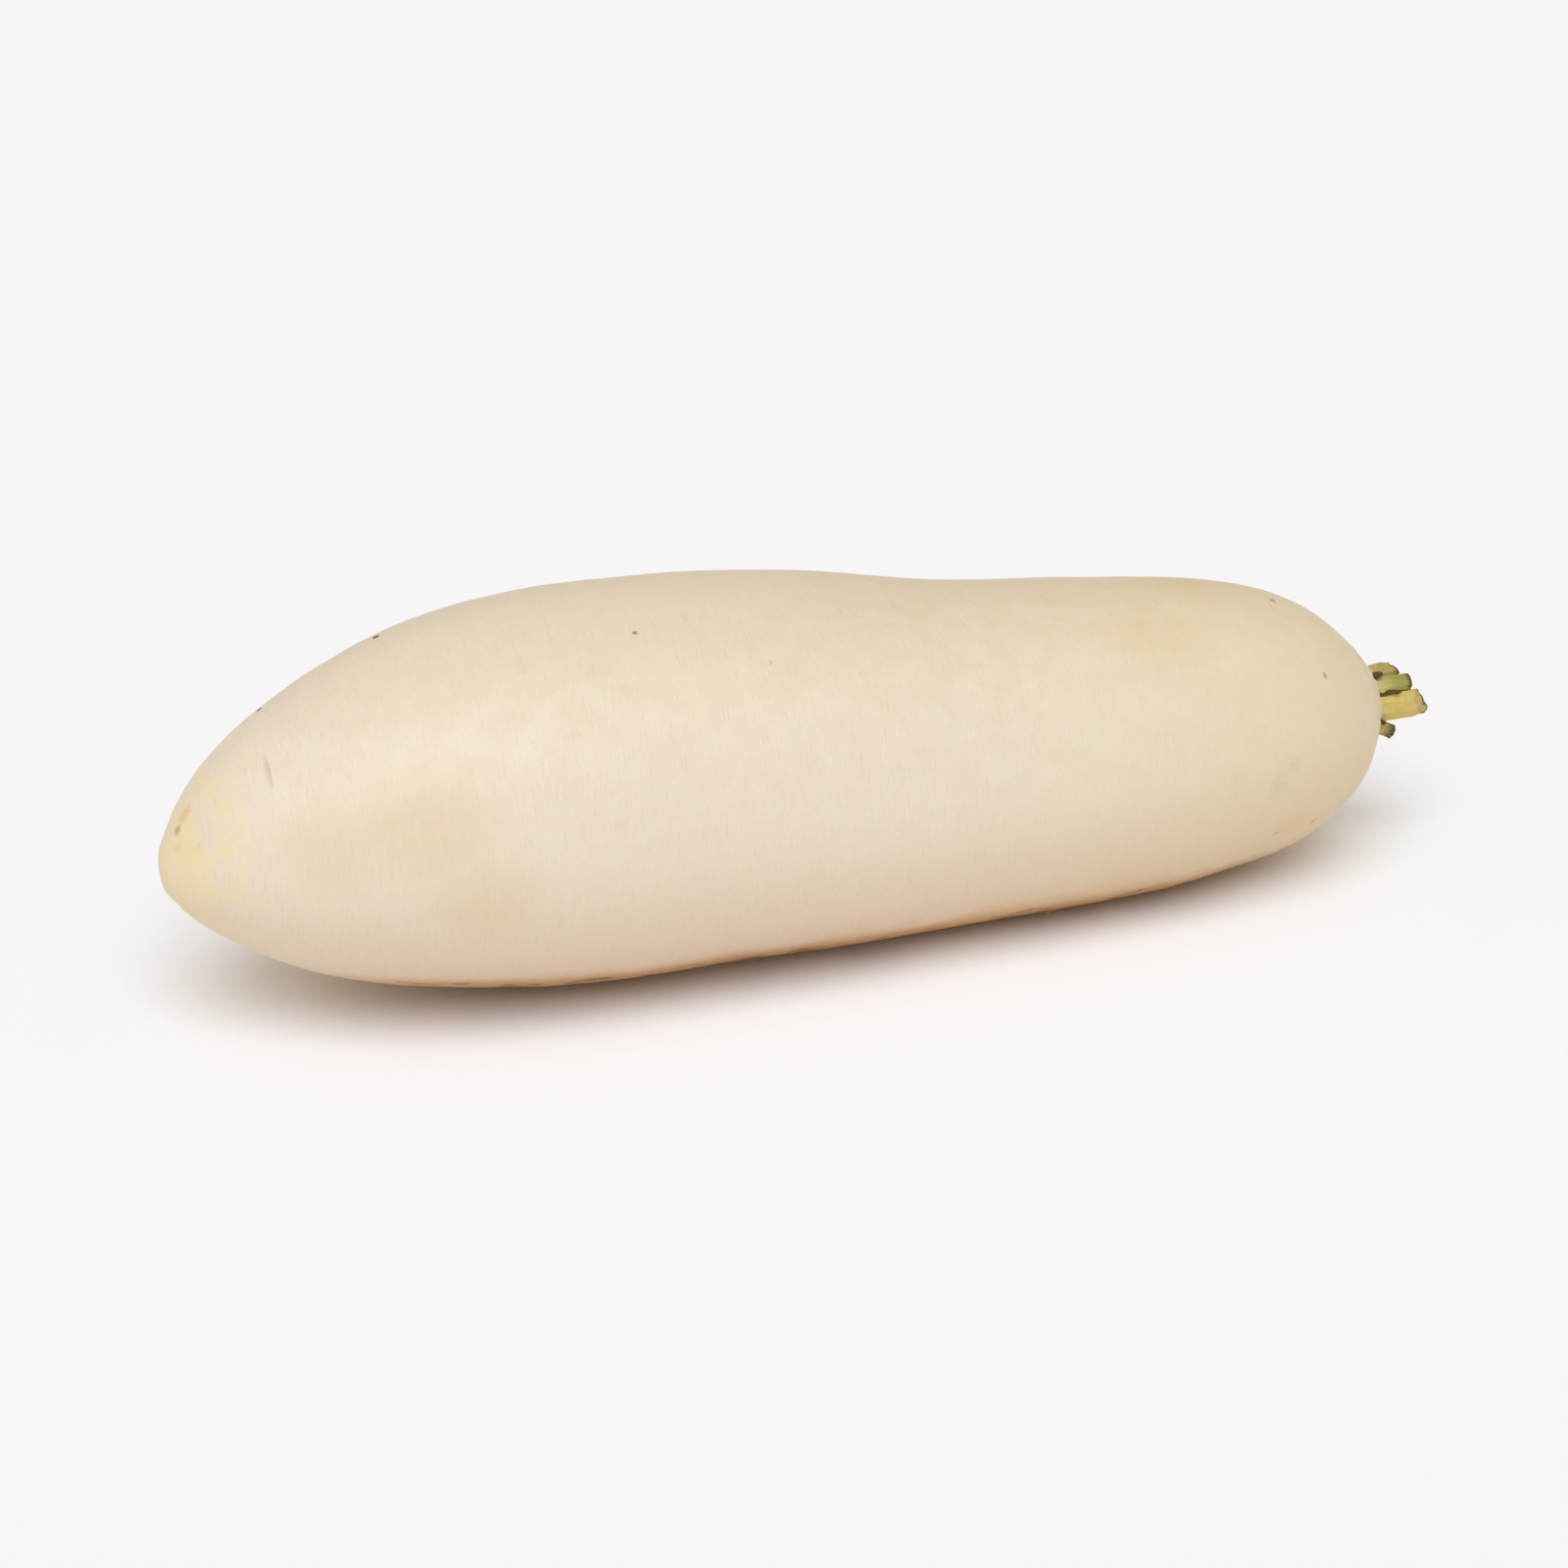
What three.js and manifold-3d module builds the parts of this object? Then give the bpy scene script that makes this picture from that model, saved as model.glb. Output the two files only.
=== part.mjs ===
// A daikon radish lying on its side: the swollen white root, and the short stem on its crown
// with the leaf stalks that were left when the leaves were cut off.
//
// Millimetres, +Z up. +X runs along the root, from the blunt tip where the thin tail was to
// the crown. The origin is on the surface that the root lies on, under the middle of its box.

import * as THREE from "three";
import { mergeVertices } from "three/addons/utils/BufferGeometryUtils.js";
import Module from "manifold-3d";

const wasm = await Module();
wasm.setup();

// ---------------------------------------------------------------- driving dimensions

const ROOT_LENGTH = 297; // from the tip to the top of the crown, if the crown were whole
const TIP_LENGTH = 100; // the stretch that narrows to the tip
const TIP_POWERS = [2, 1.75]; // of the superellipse that this stretch follows
const CROWN_LENGTH = 62; // the stretch that rounds over to the crown
const CROWN_POWERS = [1.8, 2.3];
const TAIL_SCAR = { radius: 6, length: 1.4 }; // the blunt end where the tail broke off

// The root's radius between its ends, before they round over: [mm from the tip, radius].
const GIRTH = [
  [0, 45.4],
  [107, 45.6],
  [150, 44.2],
  [185, 41],
  [215, 39.4],
  [248, 37.4],
  [275, 37.9],
  [ROOT_LENGTH, 35.6],
];

// The root's centre line: [mm from the tip, sideways, height above the surface].
const AXIS = [
  [0, -2, 39.4],
  [12, -1.5, 42.1],
  [30, -1, 43.2],
  [60, 0, 45.3],
  [107, 0.5, 45.3],
  [128, 0.3, 45],
  [150, 0, 43.5],
  [190, 0, 40.2],
  [235, 1, 37.8],
  [250, 1.3, 37.7],
  [265, 1.6, 37.1],
  [280, 1.9, 36.4],
  [290, 2.2, 35.8],
  [ROOT_LENGTH, 3, 37.2],
];
const FLAT_DEPTH = 0.9; // how much is worn off below, which leaves the flat spot to lie on

// How the girth strays from a true circle: [share of the radius, lobes round the root, radians
// they turn by in a mm, radians they start at].
const LOBES = [
  [0.011, 2, 0.004, 0.5],
  [0.006, 3, -0.011, 1.9],
  [0.004, 5, 0.017, 4.1],
];
const ROUND_ABOUT_STEM = 40; // the lobes die out over this length below the crown

const SOCKET = { radius: 10, depth: 3.4 }; // the hollow in the crown that holds the stem
const GAP = 0.3; // between the stem and its socket

const ROOT_SIDES = 64;
const ROOT_RINGS = 58; // closest together at both ends

// The stem above the crown: [radius, mm above the stem's foot].
const STEM_TOP = [
  [8.7, 4.4],
  [6.6, 5.9],
  [3.4, 6.9],
  [0, 7.2],
];
const STEM_SIDES = 32;

// Leaf stalks stand round the stem a golden angle apart, the oldest first.
const GOLDEN_ANGLE = THREE.MathUtils.degToRad(137.508);
const OLDEST_AT = THREE.MathUtils.degToRad(123); // 0 points to -Y, and 90 degrees up

// Each stalk as it was cut: seat is how far its back stands from the stem's axis, lean is how
// many degrees it bends outwards there and straighten how many of them it loses by its cut,
// and slant and skew are the cut's slope from back to front and from side to side.
const STALKS = [
  { seat: 7.4, length: 12.2, width: 8.4, thickness: 6.4, lean: 13, straighten: 5, slant: 0.6, skew: 0.1 },
  { seat: 4.9, length: 17.4, width: 8.2, thickness: 5.2, lean: 11, straighten: 18, slant: 1.1, skew: -0.7 },
  { seat: 6.6, length: 9.6, width: 7.4, thickness: 3.8, lean: 26, straighten: 14, slant: -0.4, skew: 0.3 },
  { seat: 6, length: 14, width: 5.6, thickness: 3, lean: 2, straighten: 2, slant: -0.2, skew: 0.2 },
  { seat: 5.3, length: 10.2, width: 4.8, thickness: 4.8, lean: 24, straighten: -6, slant: -0.3, skew: 0.1 },
  { seat: 4.8, length: 11.6, width: 6, thickness: 3.6, lean: 14, straighten: 8, slant: 0.5, skew: -0.3 },
  { seat: 2.6, length: 15, width: 6.4, thickness: 3.4, lean: 4, straighten: 3, slant: 0.3, skew: 0 },
];
const STALK_SUNK = 1.4; // how far above the stem's foot a stalk is rooted, inside the stem
const STALK_TAPER = 0.86; // the width at the cut, as a share of the width at the seat
const STALK_CLASP = { extra: 0.3, end: 0.34 }; // the wider base: extra width, share of the length
const CHANNEL = 0.55; // how far the inner face is pushed in, as a share of half the thickness
const STALK_SIDES = 16;
const STALK_STEPS = 9;

const MATERIALS = {
  skin: new THREE.MeshStandardMaterial({ color: "#e9dcc8", roughness: 0.5, metalness: 0 }),
  stalk: new THREE.MeshStandardMaterial({ color: "#bdb46c", roughness: 0.6, metalness: 0 }),
};

// ---------------------------------------------------------------- helpers

// The value of one column of a table at s, on a smooth curve through its rows.
function along(table, column, s) {
  const last = table.length - 1;
  let i = table.findIndex((row, n) => n > 0 && s <= row[0]);
  if (i < 0) i = last;
  const slope = (a, b) => (table[b][column] - table[a][column]) / (table[b][0] - table[a][0]);
  const tangent = (n) => slope(Math.max(n - 1, 0), Math.min(n + 1, last));
  const span = table[i][0] - table[i - 1][0];
  const t = THREE.MathUtils.clamp((s - table[i - 1][0]) / span, 0, 1);
  const t2 = t * t;
  const t3 = t2 * t;
  return (
    (2 * t3 - 3 * t2 + 1) * table[i - 1][column] +
    (t3 - 2 * t2 + t) * span * tangent(i - 1) +
    (3 * t2 - 2 * t3) * table[i][column] +
    (t3 - t2) * span * tangent(i)
  );
}

// A superellipse's height at share t of its half length.
const roundOver = (t, [p, q]) => Math.max(0, 1 - Math.max(0, t) ** p) ** (1 / q);

// Moves every vertex of a geometry to where place puts it.
function moveVertices(geometry, place) {
  const position = geometry.getAttribute("position");
  const v = new THREE.Vector3();
  for (let i = 0; i < position.count; i++) {
    v.fromBufferAttribute(position, i);
    const moved = place(v);
    position.setXYZ(i, moved.x, moved.y, moved.z);
  }
  return geometry;
}

// A closed geometry as a solid that can be joined.
function solid(geometry) {
  const bare = geometry.clone();
  bare.deleteAttribute("normal");
  bare.deleteAttribute("uv");
  const merged = mergeVertices(bare, 1e-3);
  return new wasm.Manifold(
    new wasm.Mesh({
      numProp: 3,
      vertProperties: merged.getAttribute("position").array,
      triVerts: new Uint32Array(merged.index.array),
    }),
  );
}

// A solid as a geometry with flat faces.
function geometryOf(made) {
  const mesh = made.getMesh();
  const geometry = new THREE.BufferGeometry();
  geometry.setAttribute("position", new THREE.BufferAttribute(mesh.vertProperties, 3));
  geometry.setIndex(new THREE.BufferAttribute(mesh.triVerts, 1));
  geometry.computeVertexNormals();
  return geometry;
}

// ---------------------------------------------------------------- the root

const rootRadius = (s) => {
  const tip = roundOver((TIP_LENGTH - s) / TIP_LENGTH, TIP_POWERS);
  const crown = roundOver((s - ROOT_LENGTH + CROWN_LENGTH) / CROWN_LENGTH, CROWN_POWERS);
  const scar = roundOver((TAIL_SCAR.length - s) / TAIL_SCAR.length, [3, 3]);
  const swollen = along(GIRTH, 1, s) * tip * crown;
  return s < TAIL_SCAR.length ? Math.max(swollen, TAIL_SCAR.radius * scar) : swollen;
};

// Where the dome of the crown has narrowed to the socket's radius.
const socketMouth = (() => {
  let s = ROOT_LENGTH;
  while (rootRadius(s) < SOCKET.radius) s -= 0.05;
  return s;
})();
const socketFloor = socketMouth - SOCKET.depth;

const axisAt = (s) =>
  new THREE.Vector3(s, along(AXIS, 1, s), along(AXIS, 2, s) - FLAT_DEPTH);

// The root is turned on a lathe, socket and all, then swollen, bent and worn flat below.
function rootGeometry() {
  const profile = [];
  for (let i = 0; i <= ROOT_RINGS; i++) {
    const s = (socketMouth * (1 - Math.cos((Math.PI * i) / ROOT_RINGS))) / 2;
    profile.push(new THREE.Vector2(i ? rootRadius(s) : 0, s));
  }
  profile.at(-1).x = SOCKET.radius;
  profile.push(new THREE.Vector2(SOCKET.radius, socketFloor), new THREE.Vector2(0, socketFloor));
  const lathed = new THREE.LatheGeometry(profile, ROOT_SIDES);
  lathed.rotateZ(-Math.PI / 2);
  return moveVertices(lathed, (v) => {
    const angle = Math.atan2(v.z, v.y);
    const fade = THREE.MathUtils.smoothstep(socketMouth - v.x, 0, ROUND_ABOUT_STEM);
    const stray = LOBES.reduce(
      (sum, [share, lobes, turn, start]) =>
        sum + share * Math.cos(lobes * angle + turn * v.x + start),
      0,
    );
    // The socket's wall and floor keep to one axis, so that the stem fits it.
    const inSocket = v.x > ROOT_LENGTH / 2 && Math.hypot(v.y, v.z) < SOCKET.radius + GAP / 2;
    const centre = axisAt(inSocket ? socketMouth : v.x);
    const grown = 1 + fade * stray;
    const y = centre.y + v.y * grown;
    const z = centre.z + v.z * grown;
    return new THREE.Vector3(v.x, y, Math.max(z, 0));
  });
}

// ---------------------------------------------------------------- the leaf stalks

const crownAt = axisAt(socketMouth);
const stemFoot = socketFloor + GAP;

// A direction across the stem: 0 points to -Y, and a quarter turn on is up.
const outwards = (angle) => new THREE.Vector3(0, -Math.cos(angle), Math.sin(angle));

function stemSolid() {
  const footRadius = SOCKET.radius - GAP;
  const profile = [
    [0, 0],
    [footRadius, 0],
    [footRadius, SOCKET.depth],
    ...STEM_TOP,
  ].map(([radius, height]) => new THREE.Vector2(radius, height));
  const lathed = new THREE.LatheGeometry(profile, STEM_SIDES);
  lathed.rotateZ(-Math.PI / 2);
  lathed.translate(stemFoot, crownAt.y, crownAt.z);
  return solid(lathed);
}

// One stalk: it leans out from its seat and straightens up, with a rounded back, a channel
// down its inner face, and a slanting cut.
function stalkSolid(stalk, order) {
  const angle = OLDEST_AT - order * GOLDEN_ANGLE;
  const out = outwards(angle);
  const across = new THREE.Vector3(1, 0, 0).cross(out);
  const seat = new THREE.Vector3(stemFoot + STALK_SUNK, crownAt.y, crownAt.z).addScaledVector(
    out,
    stalk.seat - stalk.thickness / 2,
  );
  const leanAt = (t) => THREE.MathUtils.degToRad(stalk.lean - stalk.straighten * t);
  const spine = [{ at: seat.clone(), lean: leanAt(0) }];
  for (let i = 1; i <= STALK_STEPS; i++) {
    const lean = leanAt(i / STALK_STEPS);
    const step = new THREE.Vector3(Math.cos(lean), 0, 0).addScaledVector(out, Math.sin(lean));
    spine.push({ at: spine[i - 1].at.clone().addScaledVector(step, stalk.length / STALK_STEPS), lean });
  }
  const bar = new THREE.CylinderGeometry(1, 1, 1, STALK_SIDES, STALK_STEPS);
  return solid(
    moveVertices(bar, (v) => {
      const t = v.y + 0.5;
      const { at, lean } = spine[Math.round(t * STALK_STEPS)];
      const clasp = STALK_CLASP.extra * Math.max(0, 1 - t / STALK_CLASP.end) ** 2;
      const taper = THREE.MathUtils.lerp(1, STALK_TAPER, t) * (1 + clasp);
      const inner = Math.max(0, -v.z);
      const sideways = (v.x * stalk.width * taper) / 2;
      const back = ((v.z + CHANNEL * inner * (1 - v.x * v.x)) * stalk.thickness * taper) / 2;
      const backwards = new THREE.Vector3(-Math.sin(lean), 0, 0).addScaledVector(out, Math.cos(lean));
      const forwards = new THREE.Vector3(Math.cos(lean), 0, 0).addScaledVector(out, Math.sin(lean));
      const cut = t === 1 ? stalk.slant * back + stalk.skew * sideways : 0;
      return at
        .clone()
        .addScaledVector(across, sideways)
        .addScaledVector(backwards, back)
        .addScaledVector(forwards, -cut);
    }),
  );
}

function stalksGeometry() {
  const joined = STALKS.reduce((sum, stalk, order) => sum.add(stalkSolid(stalk, order)), stemSolid());
  return geometryOf(joined);
}

// ---------------------------------------------------------------- the daikon

const daikon = new THREE.Group();

function addPiece(name, geometry, material) {
  const mesh = new THREE.Mesh(geometry, material);
  mesh.name = name;
  daikon.add(mesh);
}

addPiece("root", rootGeometry(), MATERIALS.skin);
addPiece("leaf_stalks", stalksGeometry(), MATERIALS.stalk);

// The middle of the box goes over the origin. The flat spot is already at height 0.
const box = new THREE.Box3().setFromObject(daikon);
const middle = box.getCenter(new THREE.Vector3());
daikon.position.set(-middle.x, -middle.y, 0);

export default daikon;
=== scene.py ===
"""A daikon radish lying on its side.

The skin is one closed piece, with the scars of its side roots pressed into it. The crown
carries a short stem with the leaf stalks that were left when the leaves were cut off, and a
few short side roots and hairs are left in the scars. Lengths are in metres, +X runs along the
root from its tip to its crown, and +Z is up.
"""

import math
import random
from contextlib import contextmanager

import bmesh
import bpy
from mathutils import Matrix, Vector, kdtree


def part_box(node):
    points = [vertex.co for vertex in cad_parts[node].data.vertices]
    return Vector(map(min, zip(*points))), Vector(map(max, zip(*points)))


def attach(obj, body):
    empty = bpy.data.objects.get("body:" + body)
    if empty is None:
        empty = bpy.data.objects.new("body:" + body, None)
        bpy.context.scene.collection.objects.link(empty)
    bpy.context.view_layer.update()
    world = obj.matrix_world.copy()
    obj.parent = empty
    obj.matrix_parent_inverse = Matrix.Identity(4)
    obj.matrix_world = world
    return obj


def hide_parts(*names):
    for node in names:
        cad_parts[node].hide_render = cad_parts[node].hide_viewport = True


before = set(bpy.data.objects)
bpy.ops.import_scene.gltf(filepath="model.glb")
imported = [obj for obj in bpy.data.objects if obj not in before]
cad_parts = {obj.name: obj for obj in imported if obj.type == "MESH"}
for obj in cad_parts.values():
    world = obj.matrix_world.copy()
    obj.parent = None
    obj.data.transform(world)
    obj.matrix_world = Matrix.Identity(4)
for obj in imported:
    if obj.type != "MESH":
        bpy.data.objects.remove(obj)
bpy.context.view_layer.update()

MM = 0.001
scene = bpy.context.scene
random.seed(7)

# ------------------------------------------------------------------ sizes from the frame

ROOT_LOW, ROOT_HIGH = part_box("root")
STEM_LOW, STEM_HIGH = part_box("leaf_stalks")
TIP_X = ROOT_LOW.x
CROWN_X = ROOT_HIGH.x
INSIDE_Z = 0.45 * ROOT_HIGH.z  # a height that is inside the root all along its length

# ------------------------------------------------------------------ the stem and its stalks

STEM_RADIUS = 9.7 * MM
STEM_HEIGHT = 3.9 * MM
STEM_AXIS = Vector((STEM_LOW.x, STEM_HIGH.y - STEM_RADIUS, STEM_LOW.z + STEM_RADIUS))
SOCKET_RADIUS = 10 * MM
# The stem's top, from its rim to its middle, in steps of mm inwards and mm up.
STEM_TOP = [[0.7, 0.4], [1.1, 0.5], [1.1, -0.5], [1.4, 0.3], [2.2, 1.3], [1.6, 0.5]]
STEM_RIM = (6.4 * MM, 7.6 * MM)  # from its axis to where its pale rim starts, and is palest

# The leaf stalks stand round the stem a golden angle apart, the oldest first. An angle round
# the stem is 0 towards -Y and a quarter turn on is up.
GOLDEN_ANGLE = math.radians(137.508)
OLDEST_AT = math.radians(123)
STALK_SUNK = 1.4 * MM  # from the stem's foot to a stalk's seat

# Each stalk: how far its back stands from the stem's axis at the seat, its length, width and
# thickness, all in mm, its lean at the seat and how much of that it loses by its cut, in
# degrees, the slope of the cut from back to front and from side to side, as rise over run, how
# many mm down from the cut its skin has died back, and its look.
STALKS = [
    [7.4, 12.2, 8.4, 6.4, 13, 5, 0.6, 0.1, 2.0, "dry"],
    # This stalk's died-back dark reaches farther down, so that it is also painted shade on its
    # underside near the cut.
    [4.9, 17.4, 8.2, 5.2, 11, 18, 1.1, -0.7, 2.8, "pale"],
    [6.6, 9.6, 7.4, 3.8, 26, 14, -0.4, 0.3, 2.0, "dry"],
    [6.0, 14.0, 5.6, 3.0, 2, 2, -0.2, 0.2, 2.2, "green"],
    [5.3, 10.2, 4.8, 4.8, 24, -6, -0.3, 0.1, 3.8, "dry"],
    [4.8, 11.6, 6.0, 3.6, 14, 8, 0.5, -0.3, 1.4, "pale"],
    [2.6, 15.0, 6.4, 3.4, 4, 3, 0.3, 0, 1.0, "green"],
]
STALK_TAPER = 0.86  # a stalk's width at its cut, as a share of its width at its seat
STALK_CLASP = 0.3  # how much wider it is where it clasps the stem
STALK_CLASP_END = 0.34  # where that ends, as a share of its length
STALK_SIDES = 32
STALK_STEPS = 9
STEPS_CUT_OFF = 3  # how many steps more it grows, which the cut takes off
RIB_SPACING = math.radians(45)
RIB_HEIGHT = 1.1  # how far out a rib stands, as a share of the section's own radius there
CHANNEL_DEPTH = 0.5  # of the channel down the inner face, as a share of half the thickness
# The cut face, from its edge inwards: the edge, in mm inwards, and then the hollow where the
# pith has dried back and the pith inside it, in mm inwards and mm up.
CUT_EDGE = 0.1
CUT_HOLLOW = [0.3, -0.45]
CUT_PITH = [0.3, 0.2]

# The scales are dark, and where they lie they also stand for painted shade in the gaps between the
# stalks.
# Papery scales between the stalks: degrees round the stem, mm out from its axis, mm long, mm
# wide and degrees of lean.
SCALES = [
    [84, 6.7, 6.6, 4.2, 5],
    [39, 5.2, 10.5, 1.7, 2],
    [327, 5.3, 6.6, 2.8, 6],
    [250, 6.4, 7.5, 4.0, 10],
    [182, 6.4, 8.5, 4.2, 6],
]
SCALE_THICKNESS = 0.45 * MM
# A scale narrows past these shares of its length, to these shares of its width there.
SCALE_TAPER = [[0.45, 0.85], [0.7, 0.7], [0.9, 0.45]]

# ------------------------------------------------------------------ the marks on the root

# Side roots grew from two lines on opposite sides of the root. An angle round the root is 0 on
# top and a quarter turn on is towards -Y. Each line: how many degrees it is round from the
# first, how many mm from the tip its scars start, and how strongly they show. Those of the
# first have healed.
SCAR_LINES = [[0, 34, 0.22], [180, 8, 1]]
SCAR_LINE_AT_TIP = math.radians(34)
SCAR_LINE_TURN = math.radians(-24)  # from the tip to the crown
SCAR_WANDER = 0.12  # how far round from its line a scar may be, in radians
SCAR_SPACING = (9 * MM, 17 * MM)
SCARS_END = 9 * MM  # from the crown
SCAR_WIDTH = (1.6 * MM, 6.5 * MM)
SCAR_NARROWING = 0.35  # the share of its width that a scar has lost at the crown
SCAR_STRENGTH = (0.3, 1)  # as a share of its line's
# The widest scar: mm from the tip, degrees round the root, mm across, mm along and strength.
SLIT = [22, 33, 7.5, 1.5, 0.55]

# Leaf scars lie round the stem, each an arc whose ends bend in towards it. Each lies farther
# out than the one before.
LEAF_SCARS = 10
LEAF_SCARS_START = 1.6  # mm out from the socket
LEAF_SCAR_STEP = 0.62  # mm
LEAF_SCAR_WIDTH = (7.5, 10.5)  # mm from end to end
LEAF_SCAR_BEND = 0.5 * MM
LEAF_SCAR_HALF = 0.55 * MM  # half its breadth from its inner edge to its outer edge
LEAF_SCAR_STRENGTH = (0.35, 0.75)

SCAR_DEPTH = 0.42 * MM
SCAR_LIP = 0.16 * MM
SPOT_DEPTH = 0.12 * MM
# Round the stem the skin bulges, and then dips where it meets it: mm out from the stem's axis,
# mm to either side, and mm high.
CROWN_RINGS = [[12.2, 2.2, 0.15], [9.9, 0.9, -0.45]]
CROWN_REACH = 8 * MM  # how far back from the stem's foot they may reach

# Marks that stand out, as [mm from the tip, degrees round the root, mm across, strength]:
# brown spots, yellow stains, tan blushes and grey-green bruises.
SPOTS = [
    [3.8, 20, 2.2, 0.35],
    [103.8, 25, 1.3, 0.8],
    [131.4, 40, 1.2, 0.3],
    [266.5, 9, 2.0, 0.75],
    [271.3, 51, 1.8, 0.5],
    [269.4, 122, 1.8, 0.45],
    [257.8, 120, 1.5, 0.35],
    [201, 231, 1.6, 0.6],
    [64, 262, 1.4, 0.5],
]
STAINS = [
    [3.8, 20, 2.8, 1.0],
    [5.7, 14, 4.6, 0.8],
    [3.2, 42, 2.6, 0.7],
    [6.5, 56, 2.4, 0.6],
    [3.9, 137, 3.0, 0.5],
    [150, 133, 14, 0.5],
    [186, 140, 20, 0.7],
    [216, 134, 18, 0.6],
    [262, 118, 10, 0.6],
    [242, 5, 16, 0.4],
    [95, 208, 24, 0.8],
    [170, 232, 16, 0.6],
]
BLUSHES = [
    [50, 72, 32, 0.8],
    [32, 74, 26, 0.7],
    [62, 98, 26, 0.7],
    [228, 34, 26, 0.6],
    [249, -5, 28, 0.7],
    [120, 290, 30, 0.6],
    [200, 262, 28, 0.7],
]
BRUISES = [
    [243, 87, 8, 0.4],
    [255, 93, 11, 0.7],
    [259, 86, 8, 0.6],
    [51.7, 75, 9, 0.3],
    [118, 104, 14, 0.3],
    [206, 26, 12, 0.3],
    [90, 250, 12, 0.5],
    [188, 205, 9, 0.5],
]

# A line along the front, where the skin turns under, is painted partly as soil that has stuck
# there and partly as painted contact shadow. Each pair is where its edge starts and where it is
# full: by the downward part of the skin's normal, and by mm from the tip and from the crown.
SOIL_AND_SHADE_UPPER_EDGE = (0.66, 0.84)
SOIL_AND_SHADE_LOWER_EDGE = (0.975, 0.895)
SOIL_AND_SHADE_FROM_TIP = (13.8, 59.8)
SOIL_AND_SHADE_FROM_CROWN = (20, 60)

# Stubs of side roots, as [mm from the tip, degrees round the root, mm thick, mm long].
STUBS = [
    [52.6, -12, 1.7, 1.0],
    [25.6, -17, 1.5, 0.8],
    [140, 152, 1.6, 1.2],
    [162, 149, 1.9, 1.0],
    [203.5, 151, 2.2, 1.4],
    [119, 219, 1.5, 2.2],
    [231, 212, 1.8, 1.2],
    [47, 223, 1.3, 3.2],
]
HAIRS = 14
HAIR_THICKNESS = (0.22, 0.42)  # mm
HAIR_ROOM = 6 * MM
HAIR_LENGTH = (0.25, 0.8)  # as a share of its scar's height, or of the room if that is less
LOWEST_HAIR = 4.4 * MM  # how high its scar is at least


# ------------------------------------------------------------------ modelling helpers


def select_only(piece):
    bpy.ops.object.select_all(action="DESELECT")
    piece.select_set(True)
    bpy.context.view_layer.objects.active = piece


@contextmanager
def editing(piece):
    """Edit mode on one piece, with nothing selected in it."""
    select_only(piece)
    bpy.ops.object.mode_set(mode="EDIT")
    bpy.ops.mesh.select_all(action="DESELECT")
    yield
    bpy.ops.object.mode_set(mode="OBJECT")


def pick(piece, kind, test):
    """In edit mode, selects the verts, edges or faces that pass the test, and no others."""
    bpy.ops.mesh.select_mode(type={"verts": "VERT", "edges": "EDGE", "faces": "FACE"}[kind])
    bpy.ops.mesh.select_all(action="DESELECT")
    mesh = bmesh.from_edit_mesh(piece.data)
    for element in getattr(mesh, kind):
        element.select_set(bool(test(element)))
    bmesh.update_edit_mesh(piece.data)


def modify(piece, kind, **settings):
    """Adds a modifier with these settings and applies it."""
    modifier = piece.modifiers.new(kind.lower(), kind)
    for name, value in settings.items():
        setattr(modifier, name, value)
    select_only(piece)
    bpy.ops.object.modifier_apply(modifier=modifier.name)


def subdivide(piece, levels):
    modify(piece, "SUBSURF", levels=levels, render_levels=levels)


def settle(piece):
    """Puts the piece's place, turn and size into its mesh."""
    select_only(piece)
    bpy.ops.object.transform_apply(location=True, rotation=True, scale=True)


def added(name):
    """The primitive that was just added, named and settled."""
    piece = bpy.context.object
    piece.name = name
    settle(piece)
    return piece


def roughen(piece, size, depth, stretch=None):
    """Moves the surface in and out by half the depth, in blobs of this size. Where it is
    stretched, the blobs are the size times the stretch each way."""
    texture = bpy.data.textures.new("clouds", "CLOUDS")
    texture.noise_scale = size
    texture.noise_depth = 2
    settings = dict(texture=texture, strength=depth, mid_level=0.5)
    if stretch:
        bpy.ops.object.empty_add()
        ruler = bpy.context.object
        ruler.scale = stretch
        bpy.context.view_layer.update()
        settings.update(texture_coords="OBJECT", texture_coords_object=ruler)
    modify(piece, "DISPLACE", **settings)
    if stretch:
        bpy.data.objects.remove(ruler)


def paint(piece, name, values):
    """Stores a value on every vertex, for a material to read."""
    piece.data.attributes.new(name, "FLOAT", "POINT").data.foreach_set("value", values)


def paint_by_place(piece, name, value_at):
    paint(piece, name, [value_at(vertex.co) for vertex in piece.data.vertices])


def dress(piece, material, node):
    """The last step of every piece: smooth shading, its material, and what it stands for."""
    select_only(piece)
    bpy.ops.object.shade_smooth()
    piece.data.materials.clear()
    piece.data.materials.append(material)
    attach(piece, "root")
    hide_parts(node)


def around_stem(angle):
    """Outwards from the stem's axis at this angle round it."""
    return Vector((0, -math.cos(angle), math.sin(angle)))


def from_stem(point):
    """How far out a point is from the stem's axis."""
    return math.hypot(point.y - STEM_AXIS.y, point.z - STEM_AXIS.z)


def smooth(value):
    """A soft step from 0 to 1."""
    value = min(1, max(0, value))
    return value * value * (3 - 2 * value)


def fade(value, start, full):
    """A soft step that is 0 at the start and 1 where it is full."""
    return smooth((value - start) / (full - start))


# ------------------------------------------------------------------ material helpers


def linear(code):
    """An sRGB hex colour as linear red, green, blue and alpha."""
    channels = [int(code[i : i + 2], 16) / 255 for i in (1, 3, 5)]
    return [c / 12.92 if c <= 0.04045 else ((c + 0.055) / 1.055) ** 2.4 for c in channels] + [1]


def feed(tree, node, inputs):
    """Sets a node's inputs, given in order, or by name or number. Each is a number, a vector,
    a hex colour or another node's output."""
    for name, value in inputs.items() if isinstance(inputs, dict) else enumerate(inputs):
        if isinstance(value, bpy.types.NodeSocket):
            tree.links.new(value, node.inputs[name])
        else:
            node.inputs[name].default_value = linear(value) if isinstance(value, str) else value


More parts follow.
